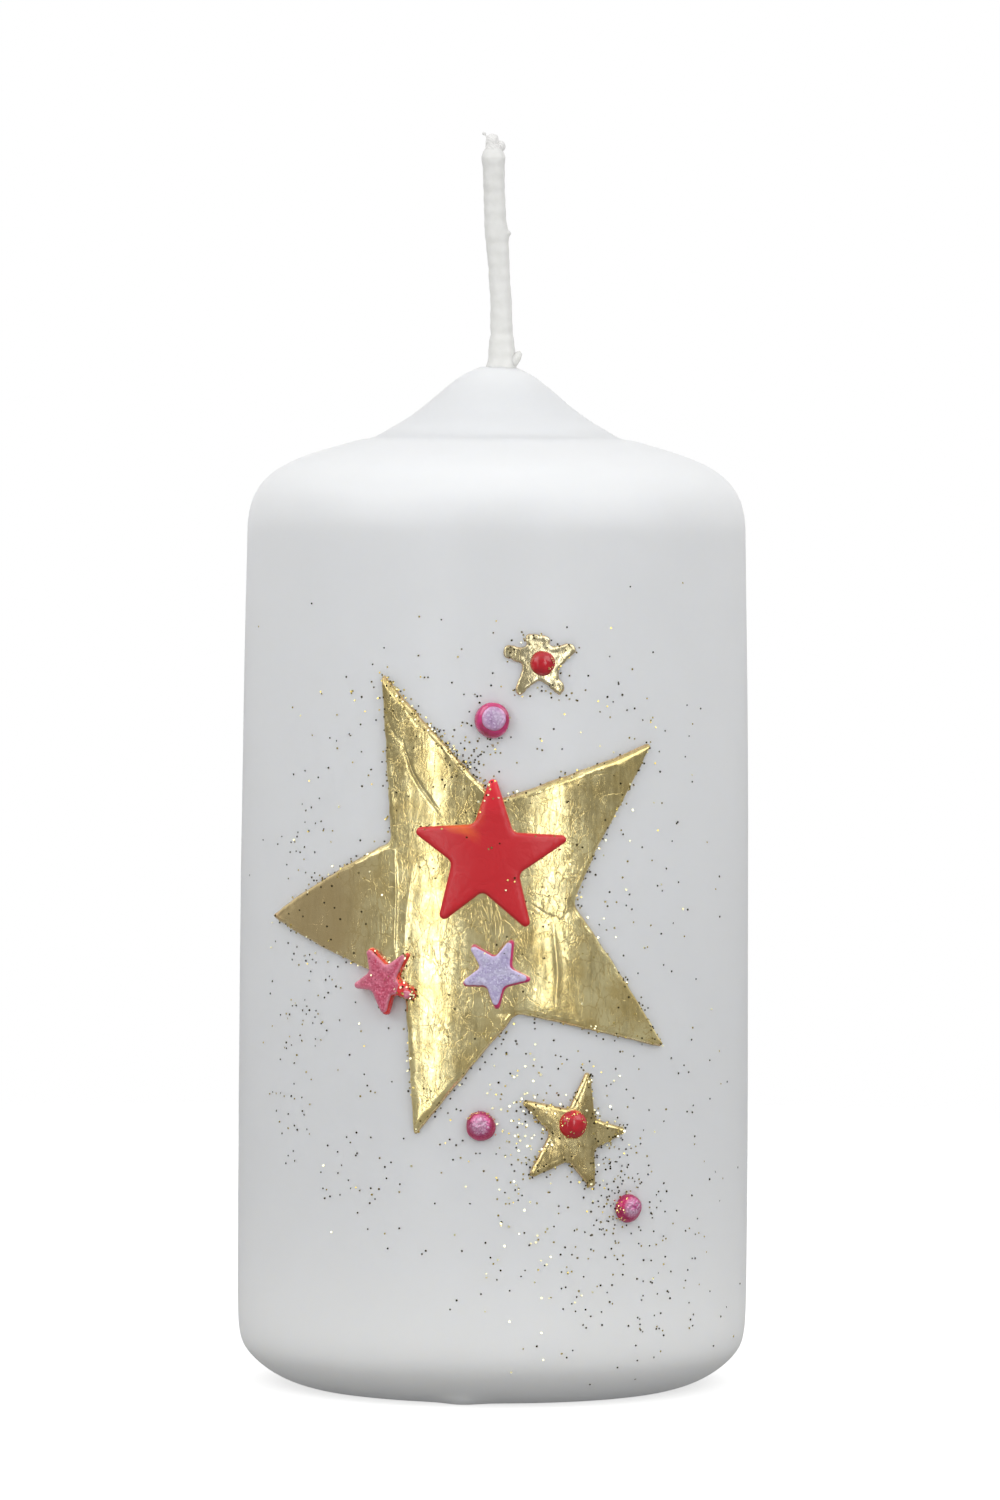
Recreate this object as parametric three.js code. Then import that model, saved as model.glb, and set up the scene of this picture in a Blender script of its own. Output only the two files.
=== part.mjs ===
// Unity candle: a white pillar candle with a drawn-up nose, a waxed wick and applied wax decorations.
// Millimetres, +Z up. The origin is the centre of the base, on the surface that the candle stands on.
// The decorated side faces -Y.

import * as THREE from 'three';
import { mergeVertices } from 'three/addons/utils/BufferGeometryUtils.js';
import { TessellateModifier } from 'three/addons/modifiers/TessellateModifier.js';

// ---- Driving dimensions: the pillar ----
const BASE_RADIUS = 30;          // a 60 mm pillar
const TOP_RADIUS = 29.25;        // the side leans in a little, mostly near the top
const CREASE_HEIGHT = 111.1;     // the ring where the shoulder meets the nose
const CREASE_RADIUS = 15;
const SHOULDER_DEPTH = 11;       // from the crease down to the straight side
const NOSE_HEIGHT = 8.3;         // from the crease up to the wick
const NOSE_TIP_RADIUS = 1.9;
const BASE_EDGE_WIDTH = 7.2;     // the rounded foot, measured in from the side
const BASE_EDGE_HEIGHT = 5.6;    // and up from the base
const BASE_EDGE_POWER = 1.5;     // 2 would be an ellipse, 1 a straight chamfer
const COAT_THICKNESS = 1;        // the harder outer wax over the core
const ROUND_SEGMENTS = 48;

// ---- Driving dimensions: the wick and its metal foot ----
const WICK_RADIUS = 0.95;
const WICK_FOOT = 0.5;
const WICK_TIP = 146.7;
const WICK_COAT_RADIUS = 1.29;
const WICK_COAT_TOP = 145;
const WICK_SHIFT = 0.5;          // the wick leaves the nose this far to the right of the axis
const WICK_LEAN = 0.0545;        // and then leans back to the left by this much for each millimetre
const SHIFT_START = 116.5;
const SHIFT_END = 121.5;
const BORE_RADIUS = 1.2;
const NOSE_HOLE_RADIUS = 1.5;
const SUSTAINER_RADIUS = 8;
const SUSTAINER_SHEET = 0.3;
const COLLAR_RADIUS = 1.75;
const COLLAR_TOP = 5;
const WICK_SEGMENTS = 12;

// ---- Driving dimensions: the decorations ----
const WAX_SHEET = 0.4;           // decorating wax under the gold
const GOLD_LEAF = 0.15;          // the gold film with the lacquer that holds it
const THIN_SHEET = 0.3;          // the small gold stars are punched from thinner wax
const RED_STAR_THICKNESS = 0.65;
const SMALL_STAR_BODY = 0.6;
const PEARL_SKIN = 0.15;
const SKIN_INSET = 0.88;         // the pearl skin is a little smaller than the star under it
const FACET = 4;                 // longest edge on a piece that wraps the candle
const BEAD_SEGMENTS = 20;
const BEAD_RISE = 0.82;          // a bead's height over its radius

// ---- Gaps ----
const GAP = 0.1;                 // between layers that lie on each other
const FIT = 0.3;                 // between the metal foot and the wax around it

// Outlines of the stars, on the candle's side rolled out flat: millimetres round the candle
// from the middle of its front, and millimetres up from the base. Each is tip, notch, tip, ...;
// a blunt tip is two points.
const LARGE_STAR = [
  [-13.2, 83.8], [0.2, 70.0], [18.8, 76.0], [12.4, 65.0], [9.3, 58.1],
  [20.9, 41.4], [2.75, 45.3], [-9.0, 31.6], [-10.5, 48.4], [-29.9, 55.7], [-12.3, 65.1],
];
const RED_STAR = [
  [-0.2, 72.3], [2.2, 66.3], [8.1, 65.5], [2.9, 61.4], [3.8, 55.4],
  [-1.3, 59.2], [-5.9, 56.2], [-4.9, 62.7], [-8.9, 66.3], [-2.4, 67.2],
];
const PINK_STAR = [
  [-14.3, 52.8], [-11.9, 51.0], [-9.5, 52.3], [-10.6, 49.4], [-8.8, 48.1], [-9.0, 46.9],
  [-11.2, 47.3], [-12.2, 45.0], [-13.8, 47.7], [-16.1, 48.2], [-14.1, 50.1],
];
const LILAC_STAR = [
  [-2.5, 53.4], [0.2, 52.2], [2.1, 54.0], [2.2, 50.8], [4.2, 49.4],
  [1.4, 48.4], [0.4, 45.9], [-0.8, 48.4], [-3.5, 48.8], [-1.6, 50.8],
];
const UPPER_SMALL_STAR = [
  [3.4, 88.4], [6.1, 88.5], [6.4, 87.4], [8.8, 87.6], [9.2, 86.8], [7.2, 84.5], [7.9, 82.4], [7.3, 81.7],
  [5.0, 83.4], [2.8, 81.8], [2.3, 82.4], [3.1, 85.1], [1.0, 86.2], [1.0, 87.2], [3.5, 87.4],
];
const LOWER_SMALL_STAR = [
  [11.0, 38.7], [12.0, 33.4], [15.8, 31.9], [12.0, 29.8], [11.7, 25.4],
  [8.7, 28.4], [4.3, 26.9], [6.4, 31.8], [3.4, 35.4], [8.7, 34.7],
];

// The pearl film on the pink star has split across one arm: the film on the rest of the star
// ends short of that arm, and a chip of film is left near the arm's tip.
const SPLIT_ARM = 4;             // the first of that arm's two corners
const FILM_EDGE = [[-10.5, 48.8], [-10.8, 47.6]];
const PEARL_CHIP = [[-9.9, 48.0], [-9.2, 47.9], [-9.1, 47.4], [-9.8, 47.1]];

// Wax beads: where the centre is, as above, and the radius.
const UPPER_RED_BEAD = { girth: 5.4, height: 85.4, radius: 1.45 };
const LOWER_RED_BEAD = { girth: 9.2, height: 32.8, radius: 1.65 };
const UPPER_PINK_BEAD = { girth: -0.4, height: 78.8, radius: 2.0 };
const LOWER_LEFT_PINK_BEAD = { girth: -1.4, height: 32.6, radius: 1.7 };
const LOWER_RIGHT_PINK_BEAD = { girth: 16.4, height: 22.9, radius: 1.65 };

// ---- Materials ----
function material(colour, roughness, metalness = 0) {
  return new THREE.MeshStandardMaterial({ color: colour, roughness, metalness });
}

const whiteWax = material(0xf2f3f1, 0.35);
const coreWax = material(0xe9e8e2, 0.6);
const cottonWick = material(0xe6e4dc, 0.85);
const wickWax = material(0xdcdcd6, 0.5);
const tinnedSteel = material(0xb9bbbd, 0.4, 1);
const sheetWax = material(0xc8a24a, 0.6);
const goldLeaf = material(0xd6b866, 0.25, 1);
const redWax = material(0xb81f26, 0.35);
const pinkWax = material(0xd0305a, 0.4);
const magentaWax = material(0xb02a6c, 0.35);
const pinkPearl = material(0xd0708c, 0.35, 0.3);
const lilacPearl = material(0xb9a9cc, 0.35, 0.3);

const group = new THREE.Group();

function addPiece(name, geometry, pieceMaterial, parent = group) {
  const mesh = new THREE.Mesh(geometry, pieceMaterial);
  mesh.name = name;
  parent.add(mesh);
  return mesh;
}

// ---- Turned shapes ----

// Turns a closed outline of [radius, height] pairs, or one that starts and ends on the axis.
// LatheGeometry turns about Y, so the result is stood up along Z.
function turned(outline, segments = ROUND_SEGMENTS) {
  const points = outline.map(([radius, height]) => new THREE.Vector2(radius, height));
  return new THREE.LatheGeometry(points, segments).rotateX(Math.PI / 2);
}

// As turned(), for an outline that encloses a ring: its first point is repeated to close it.
function turnedRing(outline, segments = ROUND_SEGMENTS) {
  return turned([...outline, outline[0]], segments);
}

function curvePoints(start, startPull, endPull, end, steps) {
  const corners = [start, startPull, endPull, end].map((pair) => new THREE.Vector2(...pair));
  return new THREE.CubicBezierCurve(...corners).getPoints(steps).map((point) => [point.x, point.y]);
}

// Radius of the candle's side at a height.
function sideRadius(height) {
  const fraction = height / (CREASE_HEIGHT - SHOULDER_DEPTH);
  return BASE_RADIUS - (BASE_RADIUS - TOP_RADIUS) * fraction ** 3;
}

function baseEdge(inset, steps) {
  const centre = BASE_RADIUS - BASE_EDGE_WIDTH - inset;
  const points = [];
  for (let i = 0; i <= steps; i += 1) {
    const turn = (i / steps) * (Math.PI / 2);
    points.push([
      centre + BASE_EDGE_WIDTH * Math.sin(turn) ** (2 / BASE_EDGE_POWER),
      BASE_EDGE_HEIGHT * (1 - Math.cos(turn) ** (2 / BASE_EDGE_POWER)),
    ]);
  }
  return points;
}

// The candle's outline from its foot to the tip of the nose. An inset gives the surface
// of an inner layer: it moves in from the side and down from the top.
function pillarOutline(inset, steps) {
  const shoulderFoot = CREASE_HEIGHT - SHOULDER_DEPTH;
  const side = [0.3, 0.6, 0.85].map((fraction) => {
    const height = shoulderFoot * fraction;
    return [sideRadius(height) - inset, height];
  });
  const crease = CREASE_HEIGHT - inset;
  const shoulder = curvePoints(
    [TOP_RADIUS - inset, shoulderFoot],
    [TOP_RADIUS - inset, shoulderFoot + 7.5 - inset],
    [CREASE_RADIUS + 8.7, crease - 2.45],
    [CREASE_RADIUS, crease],
    steps,
  );
  const nose = curvePoints(
    [CREASE_RADIUS, crease],
    [CREASE_RADIUS - 6.7, crease + 2.4],
    [NOSE_TIP_RADIUS + 4.2, crease + NOSE_HEIGHT - 1.15],
    [NOSE_TIP_RADIUS, crease + NOSE_HEIGHT],
    steps,
  );
  return [...baseEdge(inset, steps - 2), ...side, ...shoulder, ...nose.slice(1)];
}

// ---- The pillar: core and outer coat ----
function makeWaxCore() {
  const outside = pillarOutline(COAT_THICKNESS + GAP, 4);
  const noseTip = outside[outside.length - 1][1];
  const recessDepth = 2 * FIT + SUSTAINER_SHEET;
  return turnedRing([
    ...outside,
    [BORE_RADIUS, noseTip],
    [BORE_RADIUS, COLLAR_TOP + FIT],
    [COLLAR_RADIUS + FIT, COLLAR_TOP + FIT],
    [COLLAR_RADIUS + FIT, recessDepth],
    [SUSTAINER_RADIUS + FIT, recessDepth],
    [SUSTAINER_RADIUS + FIT, 0],
  ]);
}

function makeOuterCoat() {
  const outside = pillarOutline(0, 7);
  const inside = pillarOutline(COAT_THICKNESS, 4).reverse();
  return turnedRing([
    ...outside,
    [NOSE_HOLE_RADIUS, CREASE_HEIGHT + NOSE_HEIGHT],
    [NOSE_HOLE_RADIUS, inside[0][1]],
    ...inside,
  ]);
}

// ---- The wick, the wax that stiffens it, and its metal foot ----

// How far the wick's centre is from the candle's axis at a height.
function wickShift(height) {
  const leave = THREE.MathUtils.smoothstep(height, SHIFT_START, SHIFT_END);
  return WICK_SHIFT * leave - WICK_LEAN * Math.max(0, height - SHIFT_END);
}

// Slides each level of a turned piece sideways, so that it follows the leaning wick.
function followWick(geometry) {
  const position = geometry.getAttribute('position');
  for (let i = 0; i < position.count; i += 1) {
    position.setX(i, position.getX(i) + wickShift(position.getZ(i)));
  }
  geometry.computeVertexNormals();
  return geometry;
}

function makeWick() {
  const outline = [[0, WICK_FOOT], [WICK_RADIUS, WICK_FOOT]];
  for (const height of [60, 116, 118, 120, 122, 130, 138, 145]) {
    outline.push([WICK_RADIUS, height]);
  }
  outline.push([WICK_RADIUS * 0.75, WICK_TIP - 0.5], [0, WICK_TIP]);
  return followWick(turned(outline, WICK_SEGMENTS));
}

function makeWickCoat() {
  const foot = CREASE_HEIGHT + NOSE_HEIGHT + GAP;
  const inner = WICK_RADIUS + GAP;
  return followWick(turnedRing([
    [inner, foot],
    [2.1, foot],
    [1.65, foot + 0.9],
    [1.5, foot + 2.8],
    [WICK_COAT_RADIUS, foot + 3.9],
    [WICK_COAT_RADIUS, foot + 12],
    [WICK_COAT_RADIUS, WICK_COAT_TOP - 3],
    [1.5, WICK_COAT_TOP - 1.4],
    [1.2, WICK_COAT_TOP],
    [inner, WICK_COAT_TOP],
    [inner, foot + 12],
    [inner, foot + 2.8],
    [inner, foot + 0.9],
  ], WICK_SEGMENTS));
}

function makeSustainer() {
  const top = FIT + SUSTAINER_SHEET;
  const inner = WICK_RADIUS + FIT;
  return turnedRing([
    [inner, FIT],
    [SUSTAINER_RADIUS, FIT],
    [SUSTAINER_RADIUS, top],
    [COLLAR_RADIUS, top],
    [COLLAR_RADIUS, COLLAR_TOP],
    [inner, COLLAR_TOP],
  ], 24);
}

addPiece('wax_core', makeWaxCore(), coreWax);
addPiece('outer_wax_coat', makeOuterCoat(), whiteWax);
addPiece('wick', makeWick(), cottonWick);
addPiece('wick_wax_coat', makeWickCoat(), wickWax);
addPiece('wick_sustainer', makeSustainer(), tinnedSteel);

// ---- Decorations that wrap the side ----

// Bends a flat plate round the candle. In the plate, x runs round the candle,
// y up it and z out of it; its inner face ends up this far off the candle's side.
function wrapRoundPillar(geometry, standOff) {
  const position = geometry.getAttribute('position');
  for (let i = 0; i < position.count; i += 1) {
    const height = position.getY(i);
    const radius = sideRadius(height);
    const turn = position.getX(i) / radius;
    const reach = radius + standOff + position.getZ(i);
    position.setXYZ(i, reach * Math.sin(turn), -reach * Math.cos(turn), height);
  }
}

function wrappedPlate(outline, thickness, standOff) {
  const shape = new THREE.Shape(outline.map(([girth, height]) => new THREE.Vector2(girth, height)));
  const plate = new THREE.ExtrudeGeometry(shape, { depth: thickness, bevelEnabled: false });
  let geometry = new TessellateModifier(FACET, 8).modify(plate);
  geometry.deleteAttribute('normal');
  geometry.deleteAttribute('uv');
  geometry = mergeVertices(geometry, 1e-4);
  wrapRoundPillar(geometry, standOff);
  geometry = geometry.toNonIndexed();
  geometry.computeVertexNormals();
  return geometry;
}

// The same outline drawn smaller about the average of its points.
function shrunk(outline, factor) {
  const total = outline.reduce(([girth, height], point) => [girth + point[0], height + point[1]]);
  const middle = total.map((sum) => sum / outline.length);
  return outline.map((point) => point.map((value, axis) => (
    middle[axis] + (value - middle[axis]) * factor
  )));
}

// A gold star is a sheet of wax with a gold film on it. Returns the height of its top face.
function addGoldStar(name, outline, waxThickness) {
  const leafFoot = GAP + waxThickness + GAP;
  addPiece(`${name}_wax_sheet`, wrappedPlate(outline, waxThickness, GAP), sheetWax);
  addPiece(`${name}_gold_leaf`, wrappedPlate(outline, GOLD_LEAF, leafFoot), goldLeaf);
  return leafFoot + GOLD_LEAF;
}

// A small pearly star is a thick wax body with a skin of pearl film on its face.
function addPearlStar(name, outline, skinOutline, bodyWax, skinMaterial) {
  const skin = wrappedPlate(skinOutline, PEARL_SKIN, onStarBody);
  addPiece(`${name}_body`, wrappedPlate(outline, SMALL_STAR_BODY, onGold), bodyWax);
  addPiece(`${name}_pearl_skin`, skin, skinMaterial);
}

const largeStarTop = addGoldStar('large_star', LARGE_STAR, WAX_SHEET);
const upperStarTop = addGoldStar('upper_small_star', UPPER_SMALL_STAR, THIN_SHEET);
const lowerStarTop = addGoldStar('lower_small_star', LOWER_SMALL_STAR, THIN_SHEET);

const onGold = largeStarTop + GAP;
const onStarBody = onGold + SMALL_STAR_BODY + GAP;
const pinkFilm = shrunk(PINK_STAR, SKIN_INSET);
pinkFilm.splice(SPLIT_ARM, FILM_EDGE.length, ...FILM_EDGE);
addPiece('red_star', wrappedPlate(RED_STAR, RED_STAR_THICKNESS, onGold), redWax);
addPearlStar('pink_star', PINK_STAR, pinkFilm, pinkWax, pinkPearl);
addPearlStar('lilac_star', LILAC_STAR, shrunk(LILAC_STAR, SKIN_INSET), magentaWax, lilacPearl);
addPiece('pink_star_pearl_chip', wrappedPlate(PEARL_CHIP, PEARL_SKIN, onStarBody), pinkPearl);

// ---- Beads ----

// A frame on the candle's side: its own +Z points straight out of the candle.
function seatOnPillar({ girth, height }, standOff) {
  const radius = sideRadius(height);
  const turn = girth / radius;
  const reach = radius + standOff;
  const seat = new THREE.Group();
  seat.position.set(reach * Math.sin(turn), -reach * Math.cos(turn), height);
  seat.rotation.set(Math.PI / 2, 0, turn, 'ZYX');
  group.add(seat);
  return seat;
}

// Points of a flattened dome from its rim, or from part way up it, to its top.
function domeOutline(radius, startTurn, steps) {
  const points = [];
  for (let i = 0; i <= steps; i += 1) {
    const turn = startTurn + (Math.PI / 2 - startTurn) * (i / steps);
    const onAxis = i === steps;
    points.push([onAxis ? 0 : radius * Math.cos(turn), radius * BEAD_RISE * Math.sin(turn)]);
  }
  return points;
}

function addBead(name, bead, standOff, bodyWax) {
  const seat = seatOnPillar(bead, standOff);
  const outline = [[0, 0], ...domeOutline(bead.radius, 0, 5)];
  addPiece(name, turned(outline, BEAD_SEGMENTS), bodyWax, seat);
  return seat;
}

// A pearl bead has a thin pearly cap on its crown.
function addPearlBead(name, bead) {
  const seat = addBead(name, bead, GAP, magentaWax);
  const capStart = Math.PI / 4;
  const underside = domeOutline(bead.radius + GAP, capStart, 3).reverse();
  const outside = domeOutline(bead.radius + GAP + PEARL_SKIN, capStart, 3);
  addPiece(`${name}_cap`, turned([...underside, ...outside], BEAD_SEGMENTS), lilacPearl, seat);
}

addBead('upper_red_bead', UPPER_RED_BEAD, upperStarTop + GAP, redWax);
addBead('lower_red_bead', LOWER_RED_BEAD, lowerStarTop + GAP, redWax);
addPearlBead('upper_pink_bead', UPPER_PINK_BEAD);
addPearlBead('lower_left_pink_bead', LOWER_LEFT_PINK_BEAD);
addPearlBead('lower_right_pink_bead', LOWER_RIGHT_PINK_BEAD);

export default group;
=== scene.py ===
"""Looks of the unity candle: dipped wax, gold film, pearly stars, beads, a waxed wick and glitter.

Shapes are worked out in millimetres and scaled to metres once, when a mesh is made. Pieces on the
candle's side are drawn on that side rolled out flat: "girth" is the distance round the candle from
the middle of its front, "height" the distance up from its base, and "rise" the distance off the side.
"""

import random
from math import atan2, cos, exp, hypot, pi, radians, sin

import bpy
import numpy as np
from mathutils import Matrix, Vector, geometry, noise


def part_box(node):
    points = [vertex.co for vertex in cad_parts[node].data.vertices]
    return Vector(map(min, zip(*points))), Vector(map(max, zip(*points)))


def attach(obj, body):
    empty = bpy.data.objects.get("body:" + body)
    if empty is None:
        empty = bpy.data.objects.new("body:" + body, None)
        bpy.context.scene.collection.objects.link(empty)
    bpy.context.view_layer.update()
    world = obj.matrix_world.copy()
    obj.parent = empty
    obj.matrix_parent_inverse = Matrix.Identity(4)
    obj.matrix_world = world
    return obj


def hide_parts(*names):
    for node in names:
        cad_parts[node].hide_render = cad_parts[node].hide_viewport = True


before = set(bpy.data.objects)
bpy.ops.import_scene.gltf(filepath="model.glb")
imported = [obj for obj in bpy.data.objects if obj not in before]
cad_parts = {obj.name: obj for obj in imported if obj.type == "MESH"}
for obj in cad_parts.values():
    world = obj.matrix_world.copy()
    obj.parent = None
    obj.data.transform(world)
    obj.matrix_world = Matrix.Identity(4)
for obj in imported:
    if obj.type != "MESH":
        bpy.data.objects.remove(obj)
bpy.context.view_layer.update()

MM = 0.001

# ---- The pillar's shape: its size from the frame, its curves as in the CAD model ----
_, coat_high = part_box("outer_wax_coat")
BASE_RADIUS = coat_high.x / MM
NOSE_TOP = coat_high.z / MM
TOP_RADIUS = BASE_RADIUS - 0.75
NOSE_HEIGHT = 8.3
CREASE_HEIGHT = NOSE_TOP - NOSE_HEIGHT
CREASE_RADIUS = BASE_RADIUS / 2
SHOULDER_DEPTH = 11
NOSE_TIP_RADIUS = 1.9
BASE_EDGE_WIDTH = 7.2
BASE_EDGE_HEIGHT = 5.6
BASE_EDGE_POWER = 1.5
COAT_THICKNESS = 1.0
NOSE_HOLE_RADIUS = 1.5
BORE_RADIUS = 1.2
COLLAR_RADIUS = 2.05
DRIP_TURN = radians(262)

# ---- Outlines on the rolled-out side: tip, notch, tip, ...; a blunt tip is two points ----
LARGE_STAR = [
    (-13.2, 83.8), (0.2, 70.0), (18.8, 76.0), (12.4, 65.0), (9.3, 58.1),
    (20.9, 41.4), (2.75, 45.3), (-9.0, 31.6), (-10.5, 48.4), (-29.9, 55.7), (-12.3, 65.1),
]
RED_STAR = [
    (-0.2, 72.3), (2.2, 66.3), (8.1, 65.5), (2.9, 61.4), (3.8, 55.4),
    (-1.3, 59.2), (-5.9, 56.2), (-4.9, 62.7), (-8.9, 66.3), (-2.4, 67.2),
]
PINK_STAR = [
    (-14.3, 52.8), (-11.9, 51.0), (-9.5, 52.3), (-10.6, 49.4), (-8.8, 48.1), (-9.0, 46.9),
    (-11.2, 47.3), (-12.2, 45.0), (-13.8, 47.7), (-16.1, 48.2), (-14.1, 50.1),
]
LILAC_STAR = [
    (-2.5, 53.4), (0.2, 52.2), (2.1, 54.0), (2.2, 50.8), (4.2, 49.4),
    (1.4, 48.4), (0.4, 45.9), (-0.8, 48.4), (-3.5, 48.8), (-1.6, 50.8),
]
UPPER_SMALL_STAR = [
    (3.4, 88.4), (6.1, 88.5), (6.4, 87.4), (8.8, 87.6), (9.2, 86.8), (7.2, 84.5), (7.9, 82.4), (7.3, 81.7),
    (5.0, 83.4), (2.8, 81.8), (2.3, 82.4), (3.1, 85.1), (1.0, 86.2), (1.0, 87.2), (3.5, 87.4),
]
LOWER_SMALL_STAR = [
    (11.0, 38.7), (12.0, 33.4), (15.8, 31.9), (12.0, 29.8), (11.7, 25.4),
    (8.7, 28.4), (4.3, 26.9), (6.4, 31.8), (3.4, 35.4), (8.7, 34.7),
]
PEARL_CHIP = [(-9.9, 48.0), (-9.2, 47.9), (-9.1, 47.4), (-9.8, 47.1)]
# The film on the pink star ends short of its split arm, along this line.
FILM_EDGE = [(-10.5, 48.8), (-10.8, 47.6)]

# ---- Small sums ----


def side_radius(height):
    """Radius of the candle's side at a height."""
    fraction = height / (CREASE_HEIGHT - SHOULDER_DEPTH)
    return BASE_RADIUS - (BASE_RADIUS - TOP_RADIUS) * fraction ** 3


def on_side(girth, height, rise):
    """The point in space for a place on the rolled-out side."""
    radius = side_radius(height)
    turn = girth / radius
    return ((radius + rise) * sin(turn), -(radius + rise) * cos(turn), height)


def smooth_step(low, high, value):
    """A soft climb from 0 to 1 as the value goes from low to high."""
    share = min(1, max(0, (value - low) / (high - low)))
    return share * share * (3 - 2 * share)


def noise_at(x, y, z=0.0, size=1.0, seed=0.0):
    """Smooth noise from -1 to 1 whose lumps are about this size."""
    return noise.noise(Vector((x / size + seed, y / size - seed, z / size + 0.37 * seed)))


def noise_over(places, size, seed, stretch=1.0):
    """Smooth noise at each place on the rolled-out side, drawn out upwards by stretch."""
    return np.array([noise_at(girth, height / stretch, size=size, seed=seed) for girth, height in places])


def polar(radius, turn):
    """The x and y of a point on a circle round Z."""
    return radius * cos(turn), radius * sin(turn)


def curve_points(start, start_pull, end_pull, end, steps):
    """Points of a cubic Bezier curve."""
    corners = (start, start_pull, end_pull, end)
    points = []
    for i in range(steps + 1):
        t = i / steps
        weights = ((1 - t) ** 3, 3 * t * (1 - t) ** 2, 3 * t * t * (1 - t), t ** 3)
        points.append(tuple(sum(w * c[axis] for w, c in zip(weights, corners)) for axis in (0, 1)))
    return points


# ---- Making meshes ----


def placed(name, data):
    """A new object in the scene."""
    made = bpy.data.objects.new(name, data)
    bpy.context.scene.collection.objects.link(made)
    return made


def new_piece(name, part, material, slot, replaced=(), smooth=True):
    """A mesh in the row frame, from points in millimetres, that rides on the candle.

    Its part is points and faces. A third entry gives each point's nearness to the rim, 0 to 1.
    """
    points, faces, *edge = part
    mesh = bpy.data.meshes.new(name)
    mesh.from_pydata([tuple(c * MM for c in point) for point in points], [], faces)
    if edge:
        mesh.attributes.new("edge", "FLOAT", "POINT").data.foreach_set("value", edge[0])
    mesh.update()
    mesh.polygons.foreach_set("use_smooth", [smooth] * len(mesh.polygons))
    mesh.materials.append(material)
    piece = placed(name, mesh)
    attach(piece, "root")
    if replaced:
        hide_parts(*replaced)
    return piece


def faces_between(rings):
    """Faces that join each ring of points to the next; a ring of one repeated point makes triangles."""
    faces = []
    for below, above in zip(rings, rings[1:]):
        for i in range(len(below)):
            j = (i + 1) % len(below)
            faces.append(tuple(dict.fromkeys([below[i], below[j], above[j], above[i]])))
    return faces


def turned(outline, segments, shape=None):
    """Points and faces of an outline turned about Z. It ends on the axis or closes on itself.

    shape, if given, takes (radius, height, turn) and returns the point to use instead.
    """
    points = []
    rings = []
    for radius, height in outline:
        count = 1 if radius < 1e-6 else segments
        rings.append([len(points) + i % count for i in range(segments)])
        for i in range(count):
            turn = 2 * pi * i / segments
            points.append(shape(radius, height, turn) if shape else (*polar(radius, turn), height))
    if outline[0][0] > 1e-6:
        rings.append(rings[0])
    return points, faces_between(rings)


def joined(*parts):
    """Several (points, faces) as one."""
    points = []
    faces = []
    for part_points, part_faces in parts:
        start = len(points)
        points += part_points
        faces += [tuple(start + i for i in face) for face in part_faces]
    return points, faces


# ---- Flat outlines and the plates made from them ----

# Rows of a triangular grid are this share of its step apart.
ROW_STEP = 0.866
# The step of the grid under a plate, where nothing shows.
COARSE_STEP = 2.5
# How far from a fold the rows of points beside it lie.
FOLD_ROWS = (-0.5, -0.3, -0.17, -0.07, 0.03, 0.13, 0.25, 0.42)


def turn_sense(corners):
    """Above 0 where the corners run anticlockwise, below 0 where they run clockwise."""
    return sum(a[0] * b[1] - b[0] * a[1] for a, b in zip(corners, np.roll(corners, -1, axis=0)))


def rounded_outline(corners, tip_cut, notch_cut, step):
    """The outline with its corners rounded to arcs of circles, as points about one step apart.

    An arc starts one cut away from its corner. Each corner is first pushed out, so that the arc
    still reaches where the corner was.
    """
    count = len(corners)
    sense = turn_sense(corners)
    pushed = []
    for i, corner in enumerate(corners):
        here = Vector(corner)
        back = Vector(corners[i - 1]) - here
        on = Vector(corners[(i + 1) % count]) - here
        is_tip = (back.x * on.y - back.y * on.x) * sense < 0
        cut = min(tip_cut if is_tip else notch_cut, 0.45 * min(back.length, on.length))
        half = back.angle(on) / 2
        middle = (back.normalized() + on.normalized()).normalized()
        pushed.append((here - middle * cut * cos(half) / (1 + sin(half)), cut))
    loop = []
    for i, (here, cut) in enumerate(pushed):
        after, after_cut = pushed[(i + 1) % count]
        back = (pushed[i - 1][0] - here).normalized()
        on = (after - here).normalized()
        pull = sin(back.angle(on) / 2)
        arc_steps = max(2, round(1.6 * cut / step))
        for k in range(arc_steps + 1):
            t = k / arc_steps
            shares = ((1 - t) ** 2, 2 * pull * t * (1 - t), t * t)
            loop.append(here + (back * shares[0] + on * shares[2]) * cut / sum(shares))
        start = here + on * cut
        end = after - on * after_cut
        straight_steps = max(1, round((end - start).length / step))
        loop += [start.lerp(end, k / straight_steps) for k in range(1, straight_steps)]
    return np.array([tuple(point) for point in loop])


def distance_to_path(places, path):
    """How far each place is from a line through several points, and how far along it, 0 to 1."""
    gap = np.full(len(places), 1e9)
    along = np.zeros(len(places))
    for i, (start, end) in enumerate(zip(path, path[1:])):
        span = np.subtract(end, start)
        offset = places - np.array(start)
        share = np.clip(offset @ span / (span @ span), 0, 1)
        here = np.linalg.norm(offset - share[:, None] * span, axis=1)
        along = np.where(here < gap, (i + share) / (len(path) - 1), along)
        gap = np.minimum(gap, here)
    return gap, along


def edge_distances(points, loop):
    """How far each point is from a closed loop."""
    return distance_to_path(points, np.concatenate([loop, loop[:1]]))[0]


def inside_loop(points, loop):
    """Whether each point is inside a closed loop."""
    inside = np.zeros(len(points), bool)
    for (x0, y0), (x1, y1) in zip(loop, np.roll(loop, -1, axis=0)):
        if y0 != y1:
            crosses = (points[:, 1] > y0) != (points[:, 1] > y1)
            inside ^= crosses & (points[:, 0] < (x1 - x0) * (points[:, 1] - y0) / (y1 - y0) + x0)
    return inside


def well_inside(points, loop, margin):
    """The points that are inside a loop and more than a margin from it."""
    points = points[inside_loop(points, loop)]
    return points[edge_distances(points, loop) > margin]


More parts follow.
